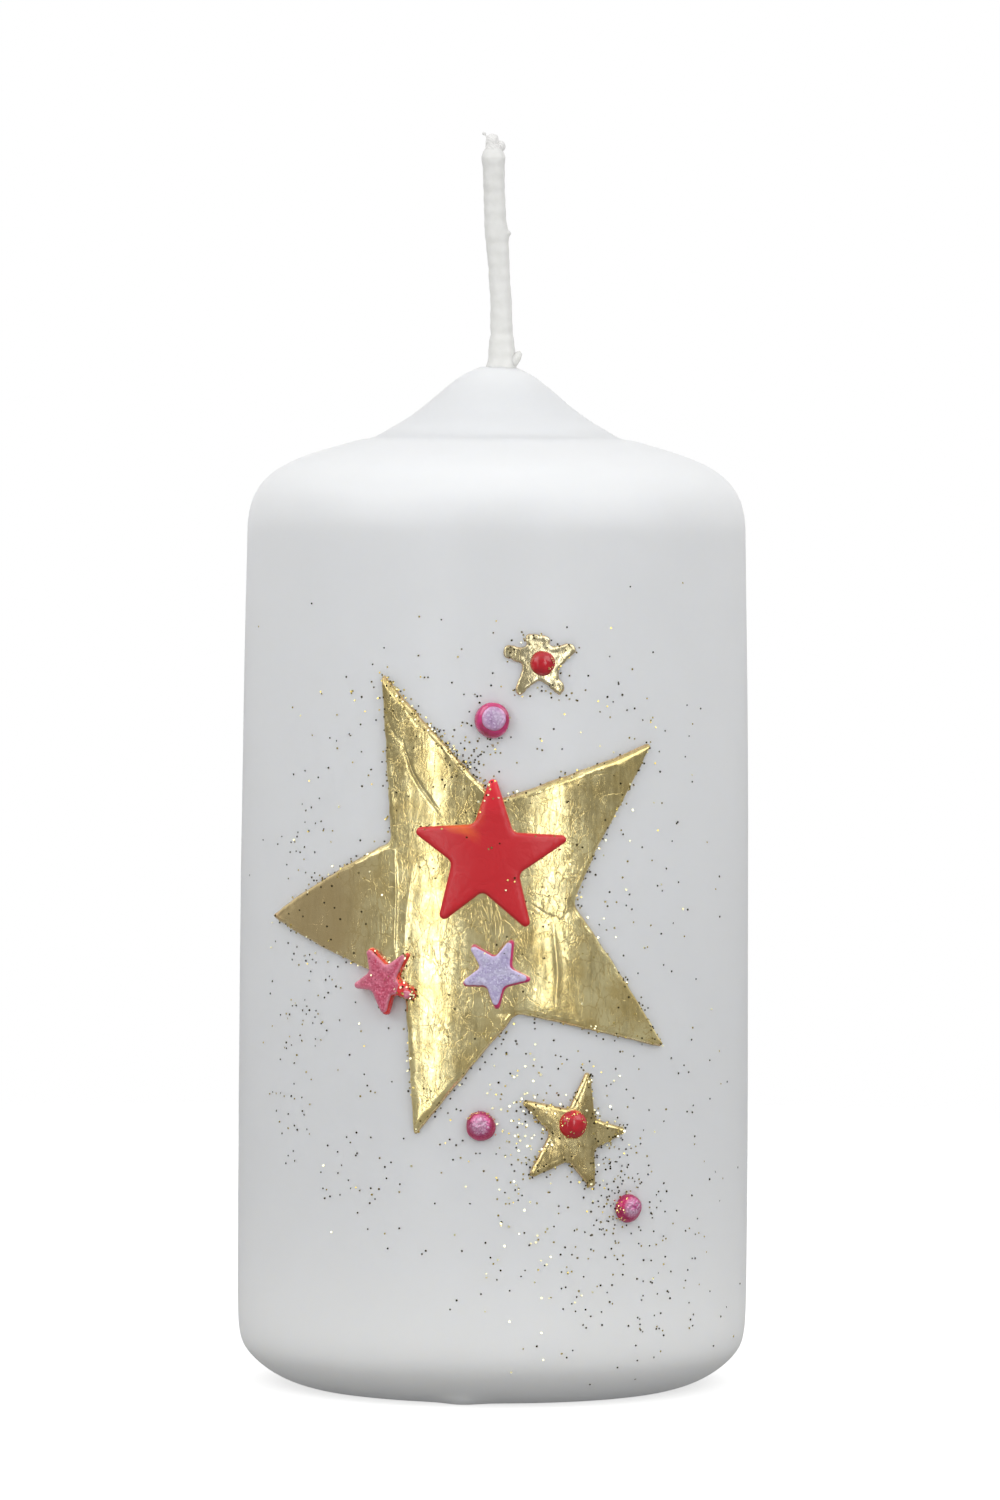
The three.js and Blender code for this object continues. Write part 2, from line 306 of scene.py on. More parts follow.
def side_normals(loop):
    """The direction square to a loop at each of its points."""
    ahead = np.roll(loop, -1, axis=0) - np.roll(loop, 1, axis=0)
    normal = np.stack([-ahead[:, 1], ahead[:, 0]], axis=1)
    return normal / np.linalg.norm(normal, axis=1)[:, None]


def inner_rows(loop, depths):
    """Points in rows along the inside of a loop, at these depths, for a well shaped edge."""
    normal = side_normals(loop) * np.sign(turn_sense(loop))
    return np.concatenate([well_inside(loop + normal * depth, loop, 0.9 * depth) for depth in depths])


def grid_inside(loop, step, margin, shake):
    """A slightly shaken triangular grid inside a loop."""
    low = loop.min(axis=0)
    columns, rows = ((loop.max(axis=0) - low) / (step, ROW_STEP * step)).astype(int) + 2
    points = []
    for row in range(rows):
        for column in range(columns):
            points.append((
                low[0] + (column + 0.5 * (row % 2)) * step + shake.uniform(-0.12, 0.12) * step,
                low[1] + row * ROW_STEP * step + shake.uniform(-0.12, 0.12) * step,
            ))
    return well_inside(np.array(points), loop, margin)


def triangulated(loop, extra):
    """Triangles that fill a loop and use the extra points. The loop's own points come first."""
    count = len(loop)
    flat = [Vector(point) for point in np.concatenate([loop, extra])]
    edges = [(i, (i + 1) % count) for i in range(count)]
    points, _, faces, *_ = geometry.delaunay_2d_cdt(flat, edges, [], 1, 1e-6)
    if len(points) != len(flat):
        raise ValueError("two points of an outline met")
    return [tuple(face) for face in faces]


def beside_path(path, step):
    """Points in rows beside a line through several points, for a well shaped fold."""
    points = []
    for start, end in zip(path, path[1:]):
        start, end = Vector(start), Vector(end)
        along = (end - start).normalized()
        side = Vector((-along.y, along.x))
        steps = max(1, round((end - start).length / step))
        for i in range(steps):
            points += [tuple(start.lerp(end, i / steps) + side * offset) for offset in FOLD_ROWS]
    return np.array(points)


def plate(loop, step, foot, rise_at, edge_depths, seed, folds=()):
    """Points, faces and rim nearness of a closed plate that wraps the candle.

    rise_at(places, depth) is how far the plate's face stands off the wax at places this deep
    inside the edge. The underside stays at foot.
    """
    shake = random.Random(seed)
    margin = max(edge_depths) + 0.6 * step
    extra = grid_inside(loop, step, margin, shake)
    for path in folds:
        row = well_inside(beside_path(path, 0.7 * step), loop, margin)
        extra = np.concatenate([extra[distance_to_path(extra, path)[0] > 0.6], row])
    extra = np.concatenate([inner_rows(loop, edge_depths), extra])
    coarse = grid_inside(loop, COARSE_STEP, 1.2, shake) if step < COARSE_STEP else np.empty((0, 2))
    flat = np.concatenate([loop, extra])
    depth = edge_distances(flat, loop)
    depth[:len(loop)] = 0
    top = [on_side(g, h, rise) for (g, h), rise in zip(flat, rise_at(flat, depth))]
    bottom = [on_side(g, h, foot) for g, h in np.concatenate([loop, coarse])]
    top_faces = triangulated(loop, extra)
    start = len(top)
    bottom_faces = [tuple(start + i for i in reversed(face)) for face in triangulated(loop, coarse)]
    count = len(loop)
    sides = [(start + i, start + (i + 1) % count, (i + 1) % count, i) for i in range(count)]
    if turn_sense(loop) < 0:
        sides = [tuple(reversed(side)) for side in sides]
    edge = np.concatenate([np.exp(-depth / 0.5), np.ones(len(bottom))])
    return top + bottom, top_faces + bottom_faces + sides, edge


def round_over(depth, width):
    """The climb of a rounded edge of this width, from 0 at the edge to 1."""
    share = np.minimum(1, depth / width)
    return np.sqrt(1 - (1 - share) ** 2)


def rounded_rise(foot, top, width):
    """A rise that climbs from foot to top over a rounded edge."""
    def rise(_places, depth):
        return foot + (top - foot) * round_over(depth, width)
    return rise


# ---- Materials ----


class Nodes:
    """A short way to write a tree of nodes."""

    def __init__(self, tree):
        self.tree = tree
        tree.nodes.clear()

    def put(self, socket, value):
        if isinstance(value, bpy.types.NodeSocket):
            self.tree.links.new(value, socket)
        else:
            socket.default_value = (*value, 1.0) if socket.type == "RGBA" else value

    def node(self, kind, inputs=(), **settings):
        made = self.tree.nodes.new(kind)
        for name, value in settings.items():
            setattr(made, name, value)
        for name, value in dict(inputs).items():
            self.put(made.inputs[name], value)
        return made

    def between(self, value, low, high, to_low=0.0, to_high=1.0):
        """Stretches a value's range from low..high to to_low..to_high."""
        inputs = {"Value": value, "From Min": low, "From Max": high, "To Min": to_low, "To Max": to_high}
        return self.node("ShaderNodeMapRange", inputs).outputs["Result"]

    def math(self, operation, *inputs):
        return self.node("ShaderNodeMath", dict(enumerate(inputs)), operation=operation).outputs[0]

    def times(self, first, second):
        return self.math("MULTIPLY", first, second)

    def plus(self, first, second):
        return self.math("ADD", first, second)

    def larger(self, first, second):
        return self.math("MAXIMUM", first, second)

    def away(self, value, middle):
        """How far a value is from a middle."""
        return self.math("ABSOLUTE", self.math("SUBTRACT", value, middle))

    def vector(self, operation, *inputs, **scale):
        inputs = {**dict(enumerate(inputs)), **scale}
        return self.node("ShaderNodeVectorMath", inputs, operation=operation).outputs[0]


class Surface(Nodes):
    """A material's nodes. Sizes are in millimetres."""

    def __init__(self, name):
        self.material = bpy.data.materials.new(name)
        self.material.use_nodes = True
        super().__init__(self.material.node_tree)
        self.shader = self.node("ShaderNodeBsdfPrincipled")
        self.node("ShaderNodeOutputMaterial", {"Surface": self.shader.outputs[0]})
        place = self.node("ShaderNodeTexCoord").outputs["Object"]
        self.place = self.vector("SCALE", place, Scale=1 / MM)

    def finished(self, **sockets):
        """The material, with the shader's sockets set. Underscores stand for spaces in their names."""
        for name, value in sockets.items():
            self.put(self.shader.inputs[name.replace("_", " ")], value)
        return self.material

    def patterned(self, pattern, dark, pale, rough, bumpiness, **sockets):
        """The material, with a colour, roughness and relief that follow one pattern."""
        return self.finished(
            Base_Color=self.blend(pattern, dark, pale),
            Roughness=self.between(pattern, *rough),
            Normal=self.bump(pattern, bumpiness),
            **sockets,
        )

    def stretched(self, x, y, z):
        """The place, with each axis drawn out by this much."""
        return self.vector("MULTIPLY", self.place, (1 / x, 1 / y, 1 / z))

    def noise(self, size, detail=2.0, roughness=0.5, distortion=0.0, place=None, output="Fac"):
        inputs = {
            "Vector": place or self.place, "Scale": 1 / size, "Detail": detail,
            "Roughness": roughness, "Distortion": distortion,
        }
        return self.node("ShaderNodeTexNoise", inputs).outputs[output]

    def cells(self, size, feature="F1", output="Distance", place=None):
        inputs = {"Vector": place or self.place, "Scale": 1 / size}
        return self.node("ShaderNodeTexVoronoi", inputs, feature=feature).outputs[output]

    def twists(self, scale, distortion):
        """Slanting bands, as on twisted threads."""
        inputs = {"Vector": self.place, "Scale": scale, "Distortion": distortion, "Detail": 2.0}
        return self.node("ShaderNodeTexWave", inputs, bands_direction="DIAGONAL").outputs["Fac"]

    def blend(self, share, first, second):
        """A colour between two others."""
        inputs = {0: share, 6: first, 7: second}
        return self.node("ShaderNodeMix", inputs, data_type="RGBA").outputs[2]

    def bump(self, height, depth, under=None):
        """A bump whose height of 1 is this many millimetres."""
        inputs = {"Height": height, "Strength": 1.0, "Distance": depth * MM}
        if under is not None:
            inputs["Normal"] = under
        return self.node("ShaderNodeBump", inputs).outputs["Normal"]

    def tilted(self, normal, cell_colour, amount):
        """A normal leaned another way in each cell, as small flat facets lie."""
        lean = self.vector("SCALE", self.vector("SUBTRACT", cell_colour, (0.5, 0.5, 0.5)), Scale=amount)
        return self.vector("NORMALIZE", self.vector("ADD", normal, lean))

    def rim(self):
        """How near the rim of its piece a point is, 0 to 1."""
        return self.node("ShaderNodeAttribute", attribute_name="edge").outputs["Fac"]

    def axis(self, index):
        """The place along one axis, in millimetres."""
        return self.node("ShaderNodeSeparateXYZ", {0: self.place}).outputs[index]


def white_wax():
    made = Surface("white_overdip_wax")
    clouds = made.noise(9, detail=3)
    fine = made.noise(0.9, detail=4, roughness=0.6)
    return made.finished(
        Base_Color=made.blend(clouds, (0.885, 0.89, 0.865), (0.915, 0.92, 0.90)),
        Roughness=made.between(fine, 0.3, 0.7, 0.30, 0.38),
        Normal=made.bump(fine, 0.006, made.bump(clouds, 0.05)),
        Subsurface_Weight=0.75,
        Subsurface_Radius=(1.0, 0.95, 0.85),
        Subsurface_Scale=5 * MM,
        IOR=1.44,
    )


def core_wax():
    made = Surface("pressed_core_wax")
    grains = made.cells(1.4)
    return made.patterned(grains, (0.78, 0.77, 0.73), (0.88, 0.87, 0.84), (0, 1, 0.45, 0.65), 0.05)


def gold_film(name, pale, deep):
    """Gold film: satin, with upright wrinkles, hairline cracks, rubbed patches and stains, and painted
    shade on its left and upper arms.

    It is crumpled most down the middle of the candle's front and in the fold left of it.
    """
    made = Surface(name)
    across = made.axis(0)
    middle = made.between(made.away(across, -0.6), 2.6, 5.2, 1.0, 0.0)
    left_fold = made.between(made.away(across, -11.2), 0.6, 1.8, 1.0, 0.0)
    scattered = made.between(made.noise(4.5), 0.52, 0.66)
    crumpled = made.larger(made.larger(middle, left_fold), scattered)
    share = made.between(crumpled, 0.0, 1.0, 0.28, 1.0)
    upright = made.stretched(1, 1, 4)
    wrinkles = made.noise(0.7, 4, 0.6, 0.6, upright)
    swells = made.noise(3.2, place=upright)
    contour = made.away(made.noise(1.7, 3, 0.6, 1.2, upright), 0.5)
    warped = made.vector("ADD", made.place, made.noise(1 / 1.3, detail=3, output="Color"))
    cracks = made.between(made.cells(2.6, "DISTANCE_TO_EDGE", place=warped), 0.0, 0.03)
    lines = made.times(made.between(contour, 0.0, 0.018), cracks)
    facets = made.cells(0.24, output="Color", place=made.stretched(1, 1, 1.5))
    rough = made.bump(made.times(wrinkles, share), 0.024)
    under = made.bump(swells, 0.12, made.bump(made.times(lines, share), 0.012, rough))
    patches = made.between(made.noise(3.5, detail=3, roughness=0.6), 0.32, 0.6)
    crumbs = made.noise(0.3)
    raw = made.between(made.plus(made.times(made.rim(), 0.8), crumbs), 1.14, 1.32, 0.0, 0.6)
    # painted shade: the film's left arm is painted a darker, warmer gold
    painted_shade_left_arm = made.between(across, -12, -18, 0.0, 0.8)
    # painted shade: the film is painted darker towards its upper arms, from 62 to 73 mm up
    painted_shade_high_up = made.between(made.axis(2), 62, 73, 0.0, 0.18)
    tip = made.between(across, -24.5, -26.0, 0.0, 0.6)
    blotches = made.plus(made.noise(1.5, detail=4, roughness=0.7, place=upright), painted_shade_high_up)
    # the noise blotches are stains; the height term in them is painted shade on the upper arms
    stains_and_painted_shade = made.between(blotches, 0.50, 0.70, 0.0, 0.55)
    gold = made.blend(made.times(patches, lines), deep, pale)
    gold = made.blend(stains_and_painted_shade, gold, [c * 0.5 for c in deep])
    # painted shade on the left arm
    gold = made.blend(painted_shade_left_arm, gold, (0.70, 0.53, 0.27))
    gold = made.blend(tip, gold, (0.84, 0.46, 0.22))
    return made.finished(
        Base_Color=made.blend(raw, gold, (0.80, 0.50, 0.30)),
        Metallic=made.between(raw, 0.0, 1.0, 1.0, 0.35),
        Roughness=made.between(crumbs, 0.3, 0.7, 0.17, 0.27),
        Normal=made.tilted(under, facets, made.times(share, 0.07)),
    )


def sheet_wax():
    made = Surface("sheet_wax")
    lumps = made.noise(0.5, detail=4, roughness=0.6)
    rough = (0.3, 0.7, 0.35, 0.6)
    return made.patterned(lumps, (0.42, 0.27, 0.10), (0.74, 0.60, 0.30), rough, 0.06, Metallic=0.35)


def coloured_wax(name, colour, darker, gloss, cloud_size=3.0, shine=0.0):
    made = Surface(name)
    clouds = made.noise(cloud_size, detail=3)
    fine = made.noise(0.35, detail=3)
    return made.finished(
        Base_Color=made.blend(made.between(clouds, 0.3, 0.7), darker, colour),
        Roughness=made.between(fine, 0.3, 0.7, gloss, gloss + 0.1),
        Normal=made.bump(fine, 0.008, made.bump(clouds, 0.05)),
        Subsurface_Weight=0.25,
        Subsurface_Radius=(1.0, 0.25, 0.25),
        Subsurface_Scale=0.4 * MM,
        Coat_Weight=shine,
        Coat_Roughness=0.08,
    )


def red_star_wax():
    """Red wax with an orange bloom where the colour has rubbed, up and to the left, and on the top arm."""
    made = Surface("red_star_wax")
    across, up = made.axis(0), made.axis(2)
    swirl = made.noise(2.5, detail=3, distortion=1.5)
    near = made.away(made.plus(made.times(across, 0.55), up), 64.7)
    band = made.between(made.plus(near, made.times(swirl, 2.4)), 1.0, 2.6, 1.0, 0.0)
    left = made.between(across, -3.4, -1.4, 1.0, 0.0)
    on_arm = made.times(made.between(across, -1.8, -0.9, 1.0, 0.0), made.between(up, 66.6, 68.0))
    bloom = made.larger(made.times(band, left), made.times(on_arm, 0.4))
    base = made.blend(made.between(up, 68.0, 72.0), (0.56, 0.010, 0.018), (0.78, 0.012, 0.030))
    fine = made.noise(0.4, detail=3)
    return made.finished(
        Base_Color=made.blend(made.times(bloom, 0.7), base, (0.80, 0.16, 0.02)),
        Roughness=made.between(fine, 0.3, 0.7, 0.30, 0.40),
        Normal=made.bump(fine, 0.008, made.bump(swirl, 0.08)),
        Coat_Weight=0.15,
        Coat_Roughness=0.2,
        Subsurface_Weight=0.2,
        Subsurface_Radius=(1.0, 0.2, 0.2),
        Subsurface_Scale=0.4 * MM,
    )


def pearl(name, face, flake, rim, worn, metal=0.3, crumple=0.06):
    """Pearl film: pale and dark flakes in a tinted lacquer, worn to the rim's colour at its edge."""
    made = Surface(name)
    flakes = made.cells(0.17, output="Color")
    bright = made.node("ShaderNodeSeparateColor", {0: flakes}).outputs[0]
    patches = made.noise(1.3, detail=3)
    folds = made.noise(0.55, distortion=0.8)
    near = made.between(made.plus(made.rim(), made.times(patches, 0.8)), 0.75, 1.35, 0.0, worn)
    tint = made.blend(made.between(patches, 0.35, 0.65, 0.0, 0.6), face, flake)
    speckled = made.blend(made.between(bright, 0.55, 1.0, 0.0, 0.9), tint, flake)
    speckled = made.blend(made.between(bright, 0.0, 0.15, 0.35, 0.0), speckled, [c * 0.55 for c in face])
    return made.finished(
        Base_Color=made.blend(near, speckled, rim),
        Metallic=metal,
        Roughness=made.between(bright, 0, 1, 0.28, 0.48),
        Normal=made.tilted(made.bump(folds, crumple), flakes, 0.26),
        Coat_Weight=0.25,
        Coat_Roughness=0.2,
    )


def wick_wax():
    made = Surface("wick_wax")
    lumps = made.noise(0.8, detail=4, roughness=0.6)
    plait = made.twists(0.22, 3.0)
    return made.finished(
        Base_Color=made.blend(lumps, (0.64, 0.64, 0.62), (0.74, 0.74, 0.725)),
        Roughness=made.between(lumps, 0.3, 0.7, 0.35, 0.5),
        Normal=made.bump(lumps, 0.03, made.bump(plait, 0.03)),
        Subsurface_Weight=0.3,
        Subsurface_Radius=(1.0, 1.0, 0.9),
        Subsurface_Scale=0.6 * MM,
    )


def cotton():
    made = Surface("wick_cotton")
    threads = made.twists(1.6, 2.0)
    rough = (0, 1, 0.5, 0.7)
    return made.patterned(threads, (0.68, 0.675, 0.66), (0.80, 0.795, 0.78), rough, 0.03, Sheen_Weight=0.3)


def tinplate():
    made = Surface("tinplate")
    scratches = made.noise(0.5, detail=4, roughness=0.7, place=made.stretched(6, 1, 1))
    rough = (0.3, 0.7, 0.25, 0.45)
    return made.patterned(scratches, (0.55, 0.56, 0.57), (0.74, 0.75, 0.76), rough, 0.01, Metallic=1.0)


def glitter():
    made = Surface("gold_glitter")
    # each flake's colour, with painted glints and painted dark reflections among them
    return made.finished(
        Base_Color=made.node("ShaderNodeAttribute", attribute_name="flake_colour_and_painted_light").outputs["Color"],
        Metallic=1.0,
        Roughness=made.between(made.noise(0.08), 0.3, 0.7, 0.16, 0.28),
    )


# ---- The pillar ----


def base_edge(inset, steps):
    """The rounded bottom edge, from under the candle up to its side."""
    centre = BASE_RADIUS - BASE_EDGE_WIDTH - inset
    power = 2 / BASE_EDGE_POWER
    points = []
    for i in range(steps + 1):
        turn = pi / 2 * i / steps
        height = BASE_EDGE_HEIGHT * (1 - cos(turn) ** power)
        points.append((centre + BASE_EDGE_WIDTH * sin(turn) ** power, height))
    return points


def pillar_outline(inset, steps):
    """The candle's outline from its foot to the tip of its nose; an inset gives an inner layer."""
    shoulder_foot = CREASE_HEIGHT - SHOULDER_DEPTH
    crease = CREASE_HEIGHT - inset
    side = []
    for i in range(1, 3 * steps):
        height = BASE_EDGE_HEIGHT + (shoulder_foot - BASE_EDGE_HEIGHT) * i / (3 * steps)
        side.append((side_radius(height) - inset, height))
    shoulder = curve_points(
        (TOP_RADIUS - inset, shoulder_foot),
        (TOP_RADIUS - inset, shoulder_foot + 7.5 - inset),
        (CREASE_RADIUS + 8.7, crease - 2.45),
        (CREASE_RADIUS, crease),
        steps,
    )
    nose = curve_points(
        (CREASE_RADIUS, crease),
        (CREASE_RADIUS - 6.7, crease + 2.4),
        (NOSE_TIP_RADIUS + 4.2, crease + NOSE_HEIGHT - 1.15),
        (NOSE_TIP_RADIUS, crease + NOSE_HEIGHT),
        steps,
    )
    return softened(base_edge(inset, steps) + side, steps + 10) + shoulder + nose[1:]


def softened(points, rounds):
    """Takes the sharpness off an outline's bends, and leaves its ends."""
    for _ in range(rounds):
        inner = [
            tuple((a + 2 * b + c) / 4 for a, b, c in zip(*three))
            for three in zip(points, points[1:], points[2:])
        ]
        points = [points[0], *inner, points[-1]]
    return points


def uneven_wax(radius, height, turn):
    """The unevenness of dipped wax: slow swells, a groove round the nose's foot, a drip at the bottom."""
    x, y = polar(1, turn)
    swell = 0.05 * noise_at(x * 30, y * 30, height, size=24, seed=3.1)
    swell += 0.02 * noise_at(x * 30, y * 30, height, size=7, seed=8.4)
    radius += swell * smooth_step(0, 6, height) * smooth_step(2, 8, radius)
    if height > CREASE_HEIGHT - 0.6:
        height -= 0.22 * exp(-((radius - CREASE_RADIUS + 0.6) / 1.2) ** 2)
    if height < 4 and radius > BASE_RADIUS - BASE_EDGE_WIDTH - 0.5:
        beside_drip = (turn - DRIP_TURN) * radius
        radius += 1.7 * exp(-(beside_drip / 2.2) ** 2) * exp(-(height / 0.9) ** 2)
    return radius * x, radius * y, height


def make_pillar():
    outside = pillar_outline(0, 30)
    inside = pillar_outline(COAT_THICKNESS, 5)[::-1]
    ring = outside + [(NOSE_HOLE_RADIUS, NOSE_TOP), (NOSE_HOLE_RADIUS, inside[0][1])] + inside
    coat = turned(ring, 192, uneven_wax)
    new_piece("wax_coat", coat, white_wax(), "white_wax", ["outer_wax_coat"])

    core = pillar_outline(COAT_THICKNESS + 0.1, 5)
    low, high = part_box("wick_sustainer")
    recess_radius = high.x / MM + 0.3
    recess_depth = low.z / MM + 0.6
    collar_top = high.z / MM + 0.3
    core += [
        (BORE_RADIUS, core[-1][1]), (BORE_RADIUS, collar_top), (COLLAR_RADIUS, collar_top),
        (COLLAR_RADIUS, recess_depth), (recess_radius - 0.25, recess_depth),
        (recess_radius, recess_depth - 0.2), (recess_radius, 0.3), (recess_radius + 0.3, 0),
    ]
    new_piece("wax_core_block", turned(core, 96), core_wax(), "core_wax", ["wax_core"])


# ---- The wick ----

# How the wick's centre lies and how thick its wax coat is: height, distance right of the axis, radius.
WICK_STATIONS = [
    (119.2, 0.42, 1.90), (119.8, 0.46, 1.74), (120.6, 0.48, 1.62), (121.5, 0.50, 1.56),
    (122.5, 0.50, 1.48), (123.2, 0.50, 1.33), (125.4, 0.43, 1.29), (128.2, 0.29, 1.27),
    (131.0, 0.10, 1.23), (133.8, -0.13, 1.31), (135.2, -0.20, 1.40), (136.4, -0.35, 1.29),
    (139.4, -0.48, 1.28), (142.2, -0.56, 1.31), (143.2, -0.62, 1.38), (144.0, -0.62, 1.45),
    (144.5, -0.64, 1.28), (144.9, -0.66, 1.00), (145.2, -0.66, 0.80),
]
NUB_HEIGHT = 135.1
# A spur of wax leans out on the right of the wick's foot.
SPUR_PATH = [
    (1.35, -0.5, 119.6), (1.85, -0.6, 120.0), (2.25, -0.6, 120.5), (2.5, -0.55, 121.0),
    (2.45, -0.5, 121.25),
]
SPUR_RADII = [0.75, 0.62, 0.52, 0.42, 0.2]
BRAID_RADIUS = 0.95
BRAID_TOP = 145.4


def wick_station(height):
    """The wick's shift and radius at a height, on straight lines between the stations."""
    heights, shifts, radii = zip(*WICK_STATIONS)
    return float(np.interp(height, heights, shifts)), float(np.interp(height, heights, radii))


def lumpy_wick(radius, height, turn):
    """Wax on a braid: slow lumps, a plait that shows through, and a small nub on the right."""
    shift, coat = wick_station(height)
    x, y = polar(1, turn)
    lumps = 0.07 * noise_at(x, y, height / 2, size=1.1, seed=5.5)
    plait = 0.025 * sin(2 * turn + height * 2.1) * sin(2 * turn - height * 2.1)
    reach = radius * coat * (1 + lumps + plait)
    if radius > 0.9:
        from_right = min(turn, 2 * pi - turn)
        reach += 0.28 * exp(-((height - NUB_HEIGHT) / 0.28) ** 2 - (from_right / 0.45) ** 2)
    return shift + reach * x, reach * y, height


def ball(centre, size, segments, lumps, seed):
    """A closed lumpy ball; size is its half width, half depth and half height."""
    rows = segments // 2
    outline = [polar(1, pi * i / rows - pi / 2) for i in range(rows + 1)]

    def shape(radius, height, turn):
        x, y = polar(radius, turn)
        swell = 1 + lumps * noise_at(x, y, height, size=0.8, seed=seed)
        return tuple(c + s * along * swell for c, s, along in zip(centre, size, (x, y, height)))
    return turned(outline, segments, shape)


def tapered_tube(path, radii, segments):
    """A closed tube with flat ends through hand-set points, each with its own radius."""
    points = []
    centres = [Vector(point) for point in path]
    for i, centre in enumerate(centres):
        ahead = (centres[min(i + 1, len(path) - 1)] - centres[max(i - 1, 0)]).normalized()
        side = ahead.cross(Vector((0, 1, 0))).normalized()
        other = ahead.cross(side)
        for k in range(segments):
            x, y = polar(radii[i], 2 * pi * k / segments)
            points.append(tuple(centre + side * x + other * y))
    rings = [tuple(range(i, i + segments)) for i in range(0, len(points), segments)]
    return points, [rings[0][::-1], rings[-1]] + faces_between(rings)


def make_wick():
    steps = 150
    first, last = WICK_STATIONS[0][0], WICK_STATIONS[-1][0]
    outside = [(1.0, first + (last - first) * i / steps) for i in range(steps + 1)]
    coat = turned([(0, first)] + outside + [(0.6, last + 0.1), (0, last + 0.15)], 48, lumpy_wick)
    spur = tapered_tube(SPUR_PATH, SPUR_RADII, 16)
    new_piece("wick_wax_sleeve", joined(coat, spur), wick_wax(), "wick_wax", ["wick_wax_coat"])

    rows = 260
    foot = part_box("wick")[0].z / MM

    def braided(radius, height, turn):
        shift = wick_station(height)[0] * smooth_step(116, 121, height)
        relief = 1 + 0.07 * sin(3 * turn + height * 2.4) * sin(3 * turn - height * 2.4)
        x, y = polar(radius * relief, turn)
        return shift + x, y, height

    column = [(BRAID_RADIUS, foot + (BRAID_TOP - foot) * i / rows) for i in range(rows + 1)]
    braid = turned([(0, foot)] + column + [(0, BRAID_TOP + 0.2)], 20, braided)
    tufts = [
        ball((-0.80, 0.0, 145.75), (0.80, 0.8, 0.95), 28, 0.14, 1.0),
        ball((-0.45, 0.1, 146.2), (0.42, 0.45, 0.45), 20, 0.2, 2.0),
        ball((0.22, 0.05, 145.25), (0.55, 0.6, 0.72), 24, 0.14, 3.0),
        ball((-1.74, 0.0, 146.75), (0.24, 0.22, 0.2), 16, 0.25, 4.0),
        tapered_tube([(-1.7, 0, 146.7), (-1.5, 0, 146.45), (-1.25, 0, 146.1)], [0.07, 0.09, 0.14], 10),
    ]
    new_piece("wick_braid", joined(braid, *tufts), cotton(), "cotton_wick", ["wick"])


def make_sustainer():
    """A stamped tin foot: a disc with a rolled rim and a collar crimped on the wick."""
    low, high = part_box("wick_sustainer")
    rim, bottom, top = high.x / MM, low.z / MM, high.z / MM
    outline = [
        (1.25, bottom + 0.1), (1.5, bottom), (rim - 1.2, bottom), (rim - 0.9, bottom + 0.12),
        (rim - 0.3, bottom + 0.12), (rim, bottom + 0.2), (rim, bottom + 0.32), (rim - 0.3, bottom + 0.38),
        (2.1, bottom + 0.3), (1.85, bottom + 0.6), (1.75, top - 0.1), (1.65, top),
        (1.35, top), (1.25, top - 0.1),
    ]

    def crimped(radius, height, turn):
        pinch = 0.12 * smooth_step(1.5, 3, height) * (1 - smooth_step(3, top, height))
        reach = radius - pinch * max(0, cos(2 * turn)) * (radius < 2)
        return (*polar(reach, turn), height)

    new_piece("wick_foot", turned(outline, 96, crimped), tinplate(), "tinned_steel", ["wick_sustainer"])


# ---- Gold stars ----

# Folds in the large star's film: points along the fold, its depth and its width.
FOLDS = [
    ([(-10.6, 76.4), (-9.3, 72.8), (-8.2, 71.0), (-7.0, 69.4), (-5.9, 68.2)], -0.12, 0.15),
    ([(-12.6, 80.5), (-12.3, 78.8), (-11.6, 77.2), (-10.9, 76.6)], -0.07, 0.14),
    ([(-12.3, 76.0), (-11.9, 70.0), (-11.6, 66.0)], 0.06, 0.25),
    ([(-11.4, 63.9), (-11.2, 59.0), (-11.4, 53.4), (-11.1, 51.0)], 0.13, 0.18),
    ([(-9.2, 62.5), (-9.9, 57.0), (-10.4, 51.5)], 0.05, 0.30),
    ([(4.1, 58.0), (5.9, 56.8), (7.5, 56.1), (9.1, 57.9)], -0.04, 0.12),
    ([(0.6, 45.4), (2.0, 45.6), (3.2, 45.0)], -0.20, 0.25),
    ([(6.6, 56.0), (7.2, 50.0), (6.9, 45.0)], 0.06, 0.30),
    ([(-13.9, 61.5), (-15.6, 57.5), (-15.8, 52.5)], -0.08, 0.40),
]


def crumpled_rise(foot, top, bevel, folds, seed, rim=1.0, pillow=0.0):
    """A film's height: a crushed rounded rim, slow swells, wrinkles and folds.

    rim is how much the rim is crushed, and pillow how far the middle of an arm stands over its sides.
    """
    def rise(places, depth):
        crush = 1 + 0.55 * noise_over(places, 1.6, seed)
        climb = round_over(depth, bevel * crush)
        level = foot + (top - foot) * climb + pillow * round_over(depth, 1.0)
        level += 0.05 * climb * noise_over(places, 4.2, seed + 1, 1.6)
        level += 0.015 * climb * noise_over(places, 1.3, seed + 2, 1.8)
        crushed = np.clip(0.5 + 2.2 * noise_over(places, 8.0, seed + 5), 0, 1) * rim
        ridge = np.exp(-((depth - 0.35) / 0.28) ** 2)
        level += ridge * (0.03 + 0.10 * noise_over(places, 0.55, seed + 3)) * (0.3 * rim + 0.7 * crushed)
        level -= 0.05 * crushed * np.exp(-((depth - 0.8) / 0.16) ** 2)
        for path, fold_depth, width in folds:
            gap, along = distance_to_path(places, path)
            fade = np.sin(np.pi * np.clip(0.12 + 0.85 * along, 0, 1))
            level += fold_depth * fade * np.exp(-(gap / width) ** 2)
        return level
    return rise


def cut_edge(loop, wobble, seed):
    """Shakes an outline in and out, as a hand-cut edge."""
    shift = [noise_over(loop, 1.7, seed), noise_over(loop, 1.7, seed + 7)]
    shaken = loop + wobble * np.stack(shift, axis=1)
    fine = 0.4 * wobble * noise_over(shaken, 0.45, seed + 11)
    return shaken + side_normals(shaken) * fine[:, None]


# What lies on the wax so far, as pairs of outline and rise, so that glitter can settle on it.
covers = []


